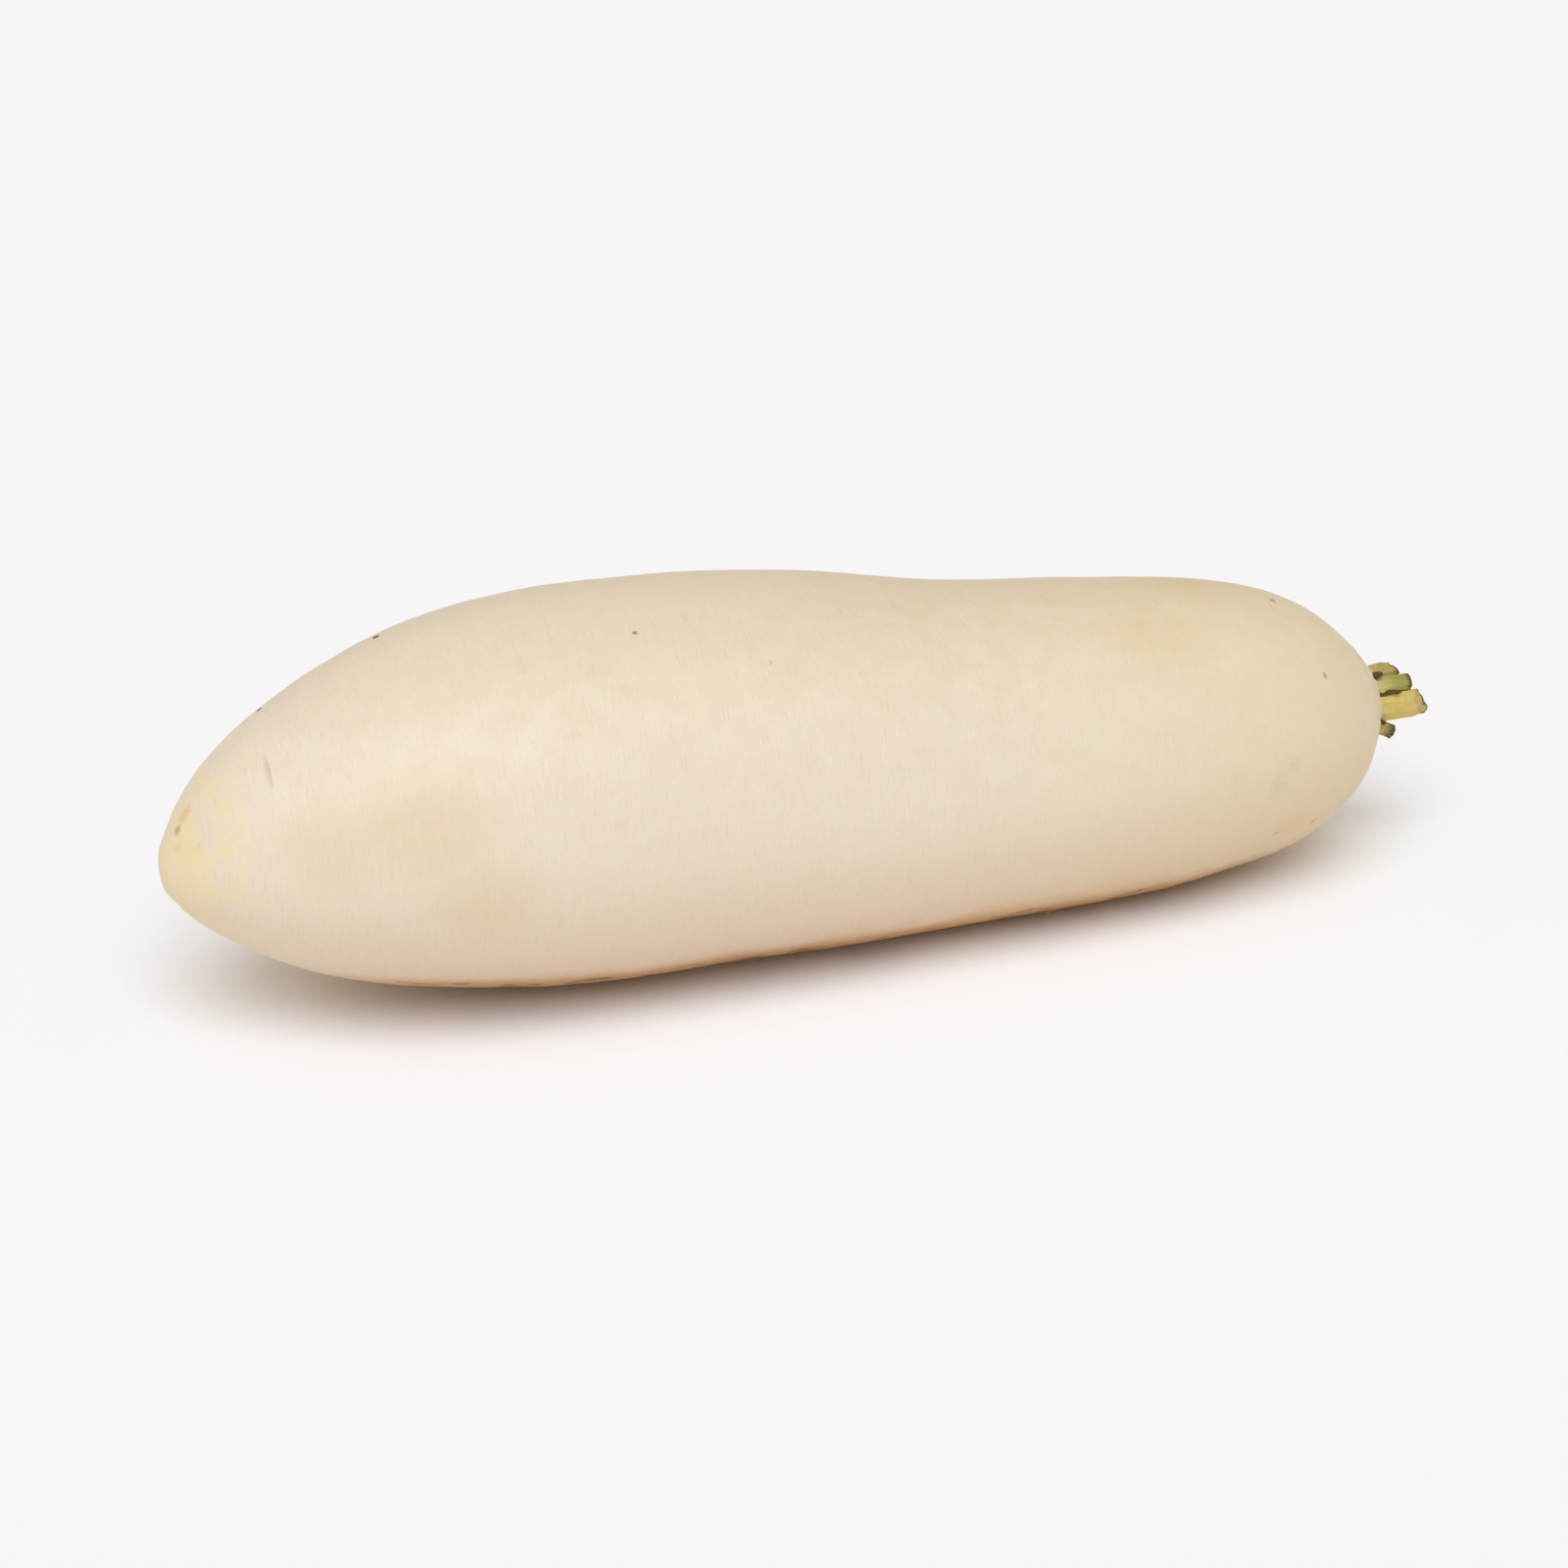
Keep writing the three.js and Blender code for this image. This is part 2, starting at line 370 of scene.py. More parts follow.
def add(tree, kind, inputs=(), out=0, **options):
    """Adds a node with these inputs and options, and returns the output of this name or
    number."""
    node = tree.nodes.new("ShaderNode" + kind)
    for name, value in options.items():
        setattr(node, name, value)
    feed(tree, node, inputs)
    return node.outputs[out]


def new_material(name):
    """An empty material, and its tree and surface shader."""
    material = bpy.data.materials.new(name)
    material.use_nodes = True
    tree = material.node_tree
    return material, tree, tree.nodes["Principled BSDF"]


def pattern(tree, kind, along, across, **inputs):
    """A pattern on the object's own coordinates, whose cells are this many millimetres long
    along the root and wide across it."""
    place = add(tree, "TexCoord", out="Object")
    cells = (1 / (along * MM), 1 / (across * MM), 1 / (across * MM))
    place = add(tree, "Mapping", {"Vector": place, "Scale": cells})
    return add(tree, kind, {"Vector": place, "Scale": 1.0, **inputs})


def glaze(tree, colour, *layers):
    """A colour with others laid over it. Each layer is a value and the colour that it shows.
    Where numbers follow, they are the range in which the value takes effect, and how strongly
    the colour shows at its start and at its end."""
    for share, over, *spread in layers:
        if spread:
            share = add(tree, "MapRange", (share, *spread), interpolation_type="SMOOTHSTEP")
        colour = add(tree, "Mix", {0: share, 6: colour, 7: over}, out=2, data_type="RGBA")
    return colour


# ------------------------------------------------------------------ materials


def radish_skin():
    """Fresh daikon skin, washed: a thin, moist, slightly waxy skin over white flesh. Light goes
    a few millimetres into it, so its shade is soft, and its shine is broad and weak."""
    material, tree, surface = new_material("daikon_skin_washed")
    place = add(tree, "TexCoord", out="Object")
    x, z = (add(tree, "SeparateXYZ", (place,), out=axis) for axis in "XZ")
    scar, spot, soil_and_shade, blush, stain, bruise = (
        add(tree, "Attribute", out="Fac", attribute_name=name)
        for name in ("scar", "spot", "soil_and_shade", "blush", "stain", "bruise")
    )

    # Cream, pinker and yellower by turns in clouds about 10 mm across, with soft flecks 1 mm
    # across, and rings where growth paused: streaks under half a millimetre wide that run
    # round the root.
    clouds = pattern(tree, "TexNoise", 7.692, 5.556, Detail=4.0)
    flecks = pattern(tree, "TexNoise", 0.9524, 0.625, Detail=3.0)
    rings = pattern(tree, "TexNoise", 0.3125, 5, Detail=2.0)
    pores = pattern(tree, "TexNoise", 0.2222, 0.2222, Detail=3.0)

    # The tints along the root and up it wander a little.
    along = add(tree, "Math", (clouds, 50 * MM, x), operation="MULTIPLY_ADD")
    upwards = add(tree, "Math", (clouds, 17.5 * MM, z), operation="MULTIPLY_ADD")
    # How strongly the top is painted darker as shade, most of all at the crown.
    top_shade = add(
        tree, "MapRange", (along, -90 * MM, CROWN_X - 20 * MM, 0.2475, 0.55),
        interpolation_type="SMOOTHSTEP",
    )
    # Lenticels: pale brown specks about 0.2 mm across, one or two to the square centimetre.
    # Some are fainter than others.
    cells = pattern(tree, "TexVoronoi", 1.818, 1.818)
    chosen = add(tree, "SeparateXYZ", (cells.node.outputs["Color"],), out="X")
    chosen = add(tree, "MapRange", (chosen, 0.5, 0.95, 0, 0.45), interpolation_type="SMOOTHSTEP")
    speck = add(tree, "MapRange", (cells, 0.065, 0.02, 0, chosen), interpolation_type="SMOOTHSTEP")
    # Soil is caked on, with darker painted contact shadow, in parts of its line, and its edge,
    # like those of the stains and the bruises, is frayed by the flecks.
    frayed = add(tree, "Math", (flecks, 0.5), operation="SUBTRACT")
    caked_soil_and_shade = add(tree, "Math", (frayed, 0.7, soil_and_shade), operation="MULTIPLY_ADD")
    caked_soil_and_shade = add(tree, "Math", (clouds, 2.2, caked_soil_and_shade), operation="MULTIPLY_ADD")
    stain = add(tree, "Math", (stain, frayed), operation="ADD")
    bruise = add(tree, "Math", (bruise, frayed), operation="ADD")

    colour = glaze(
        tree,
        "#e8dcc7",
        (clouds, "#e7d9c5", 0.38, 0.62),
        (flecks, "#e4cfa9", 0.48, 0.72, 0, 0.3),
        (rings, "#dac39b", 0.5, 0.74, 0, 0.3),
        # The crown, which grew above the soil, is a little yellower, and the tip is yellow.
        (along, "#ddcea2", CROWN_X - 120 * MM, CROWN_X + 30 * MM, 0, 0.65),
        (along, "#eed9a0", TIP_X + 45 * MM, TIP_X + 22 * MM, 0, 0.6),
        # The top is painted a darker tan as shade, most of all at the crown, and the lower side is
        # painted a warmer tan as shade, darker still towards the bottom.
        (upwards, "#dcc69c", ROOT_HIGH.z - 22 * MM, ROOT_HIGH.z + 4 * MM, 0, top_shade),
        # Painted warm shade on the lower side, and darker still towards the bottom.
        (upwards, "#d9b68c", 58 * MM, 14 * MM, 0, 0.5),
        (upwards, "#c6996a", 24 * MM, 14 * MM, 0, 0.45),
        (speck, "#a98f60"),
        # The line along the lower front: soil, and painted contact shadow, darkest where caked.
        (soil_and_shade, "#c08640", 0, 1, 0, 0.7),
        (caked_soil_and_shade, "#6d3f18", 1.94, 2.4, 0, 0.65),
        (blush, "#d9c08c", 0, 1, 0, 0.35),
        (stain, "#dfb67c", 0.2, 1.0, 0, 0.6),
        (bruise, "#bfbc9e", 0.15, 0.9, 0, 0.6),
        (scar, "#bfa47c"),
        (spot, "#8f7314"),
    )

    # Fine wrinkles round the root, pores, and a pit at each lenticel.
    height = add(tree, "Math", (pores, 0.3, rings), operation="MULTIPLY_ADD")
    height = add(tree, "Math", (height, speck), operation="SUBTRACT")
    relief = {"Height": height, "Strength": 0.4, "Distance": 0.24 * MM}
    feed(tree, surface, {
        "Base Color": colour,
        "Normal": add(tree, "Bump", relief),
        "Roughness": add(
            tree, "MapRange", (clouds, 0.3, 0.7, 0.4, 0.5), interpolation_type="SMOOTHSTEP"
        ),
        "IOR": 1.45,
        "Subsurface Weight": 0.35,
        "Subsurface Radius": (1.0, 0.62, 0.4),
        "Subsurface Scale": 3 * MM,
    })
    return material


def leaf_stalk(name, fresh, base, dried, pith, share_dry, edges):
    """A cut leaf stalk: ribbed and fibrous, paler at its base. It dries from its cut and its
    thin edges inwards, to a dull brown. share_dry is how far that has gone, and edges how much
    farther along the thin edges."""
    material, tree, surface = new_material(name)
    along, margin, died, cut = (
        add(tree, "Attribute", out="Fac", attribute_name=painted)
        for painted in ("along", "margin", "died", "pith")
    )

    # Strands a tenth of a millimetre wide, which run along the stalk, and patches half a
    # millimetre across, which fray all the edges between its colours.
    strands = pattern(tree, "TexNoise", 1.538, 0.08696, Detail=3.0)
    patches = pattern(tree, "TexNoise", 0.5263, 0.4167, Detail=3.0)
    dry = add(tree, "Math", (along, patches), operation="ADD")
    dry = add(tree, "Math", (margin, edges, dry), operation="MULTIPLY_ADD")
    died = add(tree, "Math", (died, patches), operation="ADD")

    # The cut shows the pith, with strands that end in it as darker dots.
    dots = pattern(tree, "TexVoronoi", 0.6667, 0.25)
    cut_face = glaze(
        tree, pith, (patches, dried, 0.4, 0.65), (dots, "#7a6634", 0.3, 0.1, 0, 0.35)
    )
    colour = glaze(
        tree,
        base,
        (along, fresh, 0.25, 0.8),
        (strands, dried, 0.42, 0.68, 0, 0.45),
        (dry, dried, 1.75 - share_dry, 2.0 - share_dry),
        # The skin of the stalk has died back dark from the cut.
        (died, "#413c1c", 0.8, 1.25, 0, 0.9),
        (cut, cut_face, 0.35, 0.7),
    )

    height = add(tree, "Math", (strands, patches), operation="ADD")
    relief = {"Height": height, "Strength": 0.6, "Distance": 0.22 * MM}
    feed(tree, surface, {
        "Base Color": colour,
        "Normal": add(tree, "Bump", relief),
        "Roughness": 0.5,
        "IOR": 1.4,
        "Subsurface Weight": 0.25,
        "Subsurface Radius": (1.0, 0.8, 0.3),
        "Subsurface Scale": 1 * MM,
    })
    return material


def stem_tissue():
    """The stem between the stalks: pale and fleshy at its rim, and corky inside it, where it has
    dried to a dark olive brown, in crumbs under half a millimetre across. That dark brown is also
    painted shade in the crevices between the stalks."""
    material, tree, surface = new_material("stem_tissue_drying_and_shade")
    rim = add(tree, "Attribute", out="Fac", attribute_name="rim")
    crumbs = pattern(tree, "TexNoise", 0.4444, 0.3333, Detail=4.0)
    relief = {"Height": crumbs, "Strength": 0.8, "Distance": 0.4 * MM}
    feed(tree, surface, {
        # Dark olive brown inside the rim: dried tissue, and painted shade in the crevices between
        # the stalks.
        "Base Color": glaze(tree, "#43340c", (crumbs, "#7f7036", 0.4, 0.62), (rim, "#dccf9c")),
        "Normal": add(tree, "Bump", relief),
        "Roughness": 0.7,
        "IOR": 1.4,
    })
    return material


def dry_scale_and_shade():
    """Papery remains of older leaves: thin, brown and brittle, with fine veins along them. Their
    dark brown also stands in for painted shade in the gaps between the stalks.
    """
    material, tree, surface = new_material("leaf_scale_papery_and_shade")
    veins = pattern(tree, "TexNoise", 1.25, 0.1333, Detail=3.0)
    relief = {"Height": veins, "Strength": 0.8, "Distance": 0.3 * MM}
    feed(tree, surface, {
        # Dark brown: dried leaf, and painted shade in the gaps between the stalks.
        "Base Color": glaze(tree, "#3a2c0a", (veins, "#6e5a20", 0.35, 0.7)),
        "Normal": add(tree, "Bump", relief),
        "Roughness": 0.8,
    })
    return material


def cork():
    """Side-root stubs and hairs: dry root tissue, mottled in the colours of soil where it was
    torn."""
    material, tree, surface = new_material("root_cork_dry")
    mottling = pattern(tree, "TexNoise", 0.2857, 0.2857, Detail=3.0)
    relief = {"Height": mottling, "Strength": 0.5, "Distance": 0.2 * MM}
    feed(tree, surface, {
        "Base Color": glaze(tree, "#54391a", (mottling, "#a98a52", 0.35, 0.65)),
        "Normal": add(tree, "Bump", relief),
        "Roughness": 0.7,
    })
    return material


SKIN = radish_skin()
CORK = cork()
STEM = stem_tissue()
SCALE = dry_scale_and_shade()
STALK_LOOKS = {
    "pale": leaf_stalk("leaf_stalk_pale", "#d8c56f", "#e6daa2", "#c0a75c", "#dcb87c", 0.3, 0.1),
    "green": leaf_stalk("leaf_stalk_green", "#a39f4b", "#dccc92", "#948446", "#d2c48a", 0.4, 0.2),
    "dry": leaf_stalk("leaf_stalk_dried", "#ccb878", "#e2d2a4", "#b39c5e", "#b59a64", 0.6, 0.35),
}


# ------------------------------------------------------------------ the skin


def smooth_root():
    """The root as a smooth closed form to pull the skin on to: its socket is filled level with
    the crown, and its facets are rounded. It is removed at the end."""
    form = bpy.data.objects.new("form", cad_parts["root"].data.copy())
    scene.collection.objects.link(form)

    def in_socket(face):
        middle = face.calc_center_median()
        return middle.x > STEM_AXIS.x - 1 * MM and from_stem(middle) < SOCKET_RADIUS * 1.003

    with editing(form):
        bpy.ops.mesh.select_all(action="SELECT")
        bpy.ops.mesh.remove_doubles(threshold=0.001 * MM)
        pick(form, "faces", in_socket)
        bpy.ops.mesh.delete(type="FACE")
        bpy.ops.mesh.select_mode(type="EDGE")
        bpy.ops.mesh.select_all(action="DESELECT")
        bpy.ops.mesh.select_non_manifold()
        bpy.ops.mesh.edge_face_add()
        bpy.ops.mesh.inset(thickness=3 * MM)
        bpy.ops.mesh.select_all(action="SELECT")
        bpy.ops.mesh.tris_convert_to_quads()
    subdivide(form, 2)
    return form


def root_centre(form, x):
    """The middle of the root's section at x."""
    start = Vector((x, 0, INSIDE_Z))
    back, front, top, bottom = (
        form.ray_cast(start, Vector(way))[1]
        for way in ((0, 1, 0), (0, -1, 0), (0, 0, 1), (0, 0, -1))
    )
    return Vector((x, (back.y + front.y) / 2, (top.z + bottom.z) / 2))


def on_root(form, from_tip, angle):
    """The place and outward normal on the root at this distance from the tip and this angle
    round it."""
    centre = root_centre(form, TIP_X + from_tip)
    _, place, normal, _ = form.ray_cast(centre, Vector((0, -math.sin(angle), math.cos(angle))))
    return place, normal


class Mark:
    """A place on the skin with a size of its own across the root and along it."""

    def __init__(self, form, from_tip, angle, across, along, strength):
        self.place, self.normal = on_root(form, from_tip, angle)
        self.lengthways = (Vector((1, 0, 0)) - self.normal * self.normal.x).normalized()
        self.sideways = self.normal.cross(self.lengthways)
        self.across = across
        self.along = along
        self.strength = strength

    def reach(self):
        """How far from its middle it can still show."""
        return 1.8 * max(self.across, self.along)

    def distance(self, point):
        """How far the point is out from the middle: 1 on the mark's edge."""
        offset = point - self.place
        return math.hypot(
            offset.dot(self.sideways) * 2 / self.across,
            offset.dot(self.lengthways) * 2 / self.along,
        )


def scar_marks(form):
    """The slit near the tip, and the scars of the side roots along their two lines."""
    from_tip, angle, across, along, strength = SLIT
    slit = Mark(form, from_tip * MM, math.radians(angle), across * MM, along * MM, strength)
    marks = [slit]
    length = CROWN_X - TIP_X
    for line, start, strength in SCAR_LINES:
        from_tip = start * MM
        while from_tip < length - SCARS_END:
            share = from_tip / length
            angle = math.radians(line) + SCAR_LINE_AT_TIP + SCAR_LINE_TURN * share
            angle += random.uniform(-SCAR_WANDER, SCAR_WANDER)
            across = random.uniform(*SCAR_WIDTH) * (1 - SCAR_NARROWING * share)
            along = 0.24 * across + 0.5 * MM
            depth = strength * random.uniform(*SCAR_STRENGTH)
            marks.append(Mark(form, from_tip, angle, across, along, depth))
            from_tip += random.uniform(*SCAR_SPACING)
    return marks


class LeafScar:
    """The scar of a leaf that fell: an arc round the stem."""

    def __init__(self, form, angle, out, across, strength):
        self.angle = angle
        self.out = out
        self.across = across
        self.strength = strength
        # Its place is found on the crown from beyond it.
        start = STEM_AXIS + around_stem(angle) * out + Vector((20 * MM, 0, 0))
        self.place = form.ray_cast(start, Vector((-1, 0, 0)))[1]

    def reach(self):
        """How far from its middle it can still show."""
        return self.across

    def distance(self, point):
        """How far the point is out from the middle of the arc: 1 on its edge."""
        offset = point - STEM_AXIS
        turned = math.remainder(math.atan2(offset.z, -offset.y) - self.angle, math.tau)
        sideways = turned * self.out * 2 / self.across
        rise = from_stem(point) - self.out + LEAF_SCAR_BEND * sideways * sideways
        return math.hypot(sideways, rise / LEAF_SCAR_HALF)


def leaf_scar_marks(form):
    """Leaf scars on the dome round the stem."""
    return [
        LeafScar(
            form,
            OLDEST_AT + order * GOLDEN_ANGLE,
            SOCKET_RADIUS + (LEAF_SCARS_START + LEAF_SCAR_STEP * order) * MM,
            random.uniform(*LEAF_SCAR_WIDTH) * MM,
            random.uniform(*LEAF_SCAR_STRENGTH),
        )
        for order in range(1, LEAF_SCARS + 1)
    ]


def round_marks(form, rows, stretch=1.0):
    """Marks from rows of mm from the tip, degrees round the root, mm across and strength. The
    stretch is their length along the root as a share of their width."""
    return [
        Mark(form, from_tip * MM, math.radians(angle), size * MM, stretch * size * MM, strength)
        for from_tip, angle, size, strength in rows
    ]


def weigh(piece, marks, profile):
    """A weight for every vertex: each mark's strength times the profile at the vertex's
    distance from its middle."""
    tree = kdtree.KDTree(len(piece.data.vertices))
    for vertex in piece.data.vertices:
        tree.insert(vertex.co, vertex.index)
    tree.balance()
    weights = [0.0] * len(piece.data.vertices)
    for mark in marks:
        for point, index, _ in tree.find_range(mark.place, mark.reach()):
            weights[index] = max(weights[index], mark.strength * profile(mark.distance(point)))
    return weights


def press(piece, weights, rise):
    """Moves the surface out by the rise times each vertex's weight, or in if it is negative."""
    group = piece.vertex_groups.new(name="pressed")
    for index, weight in enumerate(weights):
        if weight:
            group.add([index], weight, "REPLACE")
    modify(piece, "DISPLACE", strength=rise, mid_level=0, vertex_group=group.name)
    piece.vertex_groups.clear()


def soil_and_shade_line(vertex):
    """How much soil, and painted contact shadow, the skin has here."""
    if vertex.normal.y >= 0:
        return 0.0
    under = -vertex.normal.z
    across = fade(under, *SOIL_AND_SHADE_UPPER_EDGE) * fade(under, *SOIL_AND_SHADE_LOWER_EDGE)
    along = fade((vertex.co.x - TIP_X) / MM, *SOIL_AND_SHADE_FROM_TIP)
    along *= fade((CROWN_X - vertex.co.x) / MM, *SOIL_AND_SHADE_FROM_CROWN)
    return across * along


def wrap_root(form):
    """The bare skin: a box, cut in three along the root, that is rounded and pulled on to the
    root's form a few times."""
    bpy.ops.object.select_all(action="DESELECT")
    bpy.ops.mesh.primitive_cube_add(
        size=1, location=(ROOT_LOW + ROOT_HIGH) / 2, scale=ROOT_HIGH - ROOT_LOW
    )
    skin = added("skin")
    with editing(skin):
        for share in (1 / 3, 2 / 3):
            cut = ROOT_LOW.lerp(ROOT_HIGH, share)
            bpy.ops.mesh.select_all(action="SELECT")
            bpy.ops.mesh.bisect(plane_co=cut, plane_no=(1, 0, 0))
    subdivide(skin, 3)
    pull = dict(kind="SHRINKWRAP", target=form, wrap_method="NEAREST_SURFACEPOINT")
    for _ in range(3):
        modify(skin, **pull)
        modify(skin, "SMOOTH", factor=0.5, iterations=4)
        modify(skin, **pull)
        subdivide(skin, 1)
    modify(skin, **pull)
    modify(skin, "SMOOTH", factor=0.5, iterations=2)
    # Slow unevenness, and faint rings where growth paused.
    roughen(skin, 34 * MM, 0.5 * MM)
    roughen(skin, 1.0, 0.16 * MM, stretch=(7 * MM, 40 * MM, 40 * MM))
    return skin


def make_skin(form, scars):
    """The skin, with its marks painted on it and the deeper ones pressed in."""
    skin = wrap_root(form)
    scars = scars + leaf_scar_marks(form)
    spots = round_marks(form, SPOTS)

    # The mesh is made finer where a scar or a spot will be pressed in.
    close = [(mark.place, mark.reach() * 0.75) for mark in scars + spots]
    close.append((STEM_AXIS, 15 * MM))

    def is_close(face):
        middle = face.calc_center_median()
        return any((middle - place).length < reach for place, reach in close)

    with editing(skin):
        pick(skin, "faces", is_close)
        bpy.ops.mesh.subdivide(number_cuts=2)
        bpy.ops.mesh.select_all(action="DESELECT")
        bpy.ops.mesh.select_face_by_sides(number=4, type="GREATER")
        bpy.ops.mesh.quads_convert_to_tris(quad_method="BEAUTY", ngon_method="BEAUTY")

    slits = weigh(skin, scars, lambda d: smooth(1.15 - d))
    lips = weigh(skin, scars, lambda d: smooth(1 - abs(d - 1.25) / 0.5))
    dents = weigh(skin, spots, lambda d: smooth(1.6 - 1.3 * d))
    paint(skin, "spot", dents)
    # The line along the lower front is painted as soil and as contact shadow.
    paint(skin, "soil_and_shade", [soil_and_shade_line(vertex) for vertex in skin.data.vertices])
    # Each kind of mark: how far out it shows, 1 being its own edge, and how strong it is.
    for name, marks, edge, strength in (
        ("scar", scars, 1.5, 0.62),
        ("stain", round_marks(form, STAINS, 1.3), 1.4, 1),
        ("blush", round_marks(form, BLUSHES, 1.2), 1.3, 1),
        ("bruise", round_marks(form, BRUISES, 0.8), 1.2, 0.7),
    ):
        paint(skin, name, weigh(skin, marks, lambda d: strength * smooth(edge - d)))

    press(skin, slits, -SCAR_DEPTH)
    press(skin, lips, SCAR_LIP)
    press(skin, dents, -SPOT_DEPTH)
    out_from_stem = [
        from_stem(vertex.co) / MM if vertex.co.x > STEM_AXIS.x - CROWN_REACH else math.inf
        for vertex in skin.data.vertices
    ]
    for middle, breadth, rise in CROWN_RINGS:
        ring = [smooth(1 - abs(out - middle) / breadth) for out in out_from_stem]
        press(skin, ring, rise * MM)
    # What would sink below the surface that the root lies on is pressed flat.
    with editing(skin):
        pick(skin, "verts", lambda vertex: vertex.co.z < 0)
        bpy.ops.transform.resize(value=(1, 1, 0), center_override=(0, 0, 0))
    dress(skin, SKIN, "root")


# ------------------------------------------------------------------ the stem and its stalks


def lay_on_stem(piece, angle, out):
    """Takes a piece that was grown up +Z at the origin, with its back to +Y, to its seat on
    the stem, its back away from the stem's axis."""
    outwards = around_stem(angle)
    sideways = Vector((1, 0, 0)).cross(outwards)
    seat = STEM_AXIS + Vector((STALK_SUNK, 0, 0)) + outwards * out
    turned = Matrix((sideways, outwards, Vector((1, 0, 0)))).transposed().to_4x4()
    piece.matrix_world = Matrix.Translation(seat) @ turned
    settle(piece)
    # The seat's axes mirror the piece, so its faces are turned outwards again.
    with editing(piece):
        bpy.ops.mesh.select_all(action="SELECT")
        bpy.ops.mesh.normals_make_consistent(inside=False)


def make_stem():
    """The stem's short body, rooted in the crown: a fleshy rim round a dried, pitted middle."""
    bpy.ops.object.select_all(action="DESELECT")
    bpy.ops.mesh.primitive_cylinder_add(
        vertices=48,
        radius=STEM_RADIUS,
        depth=STEM_HEIGHT,
        location=STEM_AXIS + Vector((STEM_HEIGHT / 2, 0, 0)),
        rotation=(0, math.radians(90), 0),
    )
    stem = added("stem")
    top = STEM_AXIS.x + STEM_HEIGHT
    with editing(stem):
        pick(stem, "faces", lambda face: face.calc_center_median().x > top - 0.1 * MM)
        for inwards, rise in STEM_TOP:
            bpy.ops.mesh.inset(thickness=inwards * MM)
            bpy.ops.transform.translate(value=(rise * MM, 0, 0))
        bpy.ops.mesh.poke()
    subdivide(stem, 3)
    roughen(stem, 3.4 * MM, 1.1 * MM)
    roughen(stem, 1.1 * MM, 0.3 * MM)
    paint_by_place(stem, "rim", lambda point: fade(from_stem(point), *STEM_RIM))
    dress(stem, STEM, "leaf_stalks")


def girth(share):
    """A stalk's girth at this share of its length. It clasps the stem with a wider base."""
    flare = max(0, 1 - share / STALK_CLASP_END)
    return (1 + STALK_CLASP * flare * flare) * (1 - (1 - STALK_TAPER) * share)


def stalk_spine(length, lean, straighten):
    """Where the spine of a stalk ends, and the way it points there."""
    place = Vector((0, 0, 0))
    for n in range(1, STALK_STEPS + 1):
        angle = math.radians(lean - straighten * n / STALK_STEPS)
        way = Vector((0, math.sin(angle), math.cos(angle)))
        place += way * length / STALK_STEPS
    return place, way


def on_rib(vert):
    """Whether a point of the round section is the top of a rib. There are none on its front."""
    turned = math.remainder(math.atan2(vert.co.x, vert.co.y), RIB_SPACING)
    return abs(turned) < 0.1 and vert.co.y > -0.2


def grow_stalk(piece, length, width, thickness, lean, straighten):
    """Shapes the stalk's round section, and draws it out past the place of its cut."""
    with editing(piece):
        # The section has ribs on its back and sides, and a channel down its inner face.
        pick(piece, "verts", on_rib)
        bpy.ops.transform.resize(value=(RIB_HEIGHT, RIB_HEIGHT, 1), center_override=(0, 0, 0))
        bpy.ops.mesh.select_all(action="SELECT")
        bpy.ops.transform.resize(value=(width / 2, thickness / 2, 1), center_override=(0, 0, 0))
        pick(piece, "verts", lambda vert: vert.co.y < -0.85 * thickness / 2)
        bpy.ops.transform.translate(
            value=(0, CHANNEL_DEPTH * thickness / 2, 0),
            use_proportional_edit=True,
            proportional_edit_falloff="SMOOTH",
            proportional_size=0.4 * width,
        )
        # It grows a step at a time, and straightens as it grows.
        bpy.ops.mesh.select_all(action="SELECT")
        spine = Vector((0, 0, 0))
        tilt = math.radians(lean)
        turn = math.radians(straighten) / STALK_STEPS
        bpy.ops.transform.resize(value=(girth(0), girth(0), 1), center_override=spine)
        bpy.ops.transform.rotate(value=tilt, orient_axis="X", center_override=spine)
        for n in range(STALK_STEPS + STEPS_CUT_OFF):
            tilt -= turn
            onwards = Vector((0, math.sin(tilt), math.cos(tilt))) * length / STALK_STEPS
            bpy.ops.mesh.extrude_region_move(TRANSFORM_OT_translate={"value": onwards})
            spine += onwards
            grown = girth((n + 1) / STALK_STEPS) / girth(n / STALK_STEPS)
            bpy.ops.transform.resize(value=(grown, grown, grown), center_override=spine)
            bpy.ops.transform.rotate(value=-turn, orient_axis="X", center_override=spine)


def cut_stalk(piece, end, slope):
    """Cuts the stalk off at its end, square to the slope. The pith dries back below the edge
    of the cut, and its points are kept as a vertex group."""

    def on_cut(face):
        beyond = (face.calc_center_median() - end).dot(slope)
        return abs(beyond) < 0.02 * MM and face.normal.dot(slope) > 0.95

    piece.vertex_groups.new(name="pith_points")
    with editing(piece):
        bpy.ops.mesh.select_all(action="SELECT")
        bpy.ops.mesh.bisect(plane_co=end, plane_no=slope, use_fill=True, clear_outer=True)
        bpy.ops.mesh.select_all(action="SELECT")
        bpy.ops.mesh.normals_make_consistent(inside=False)
        pick(piece, "faces", on_cut)
        bpy.ops.mesh.inset(thickness=CUT_EDGE * MM)
        inwards, rise = CUT_HOLLOW
        bpy.ops.mesh.inset(thickness=inwards * MM)
        bpy.ops.object.vertex_group_assign()
        bpy.ops.transform.translate(value=slope * rise * MM)
        inwards, rise = CUT_PITH
        bpy.ops.mesh.inset(thickness=inwards * MM)
        bpy.ops.transform.translate(value=slope * rise * MM)
        bpy.ops.mesh.poke()


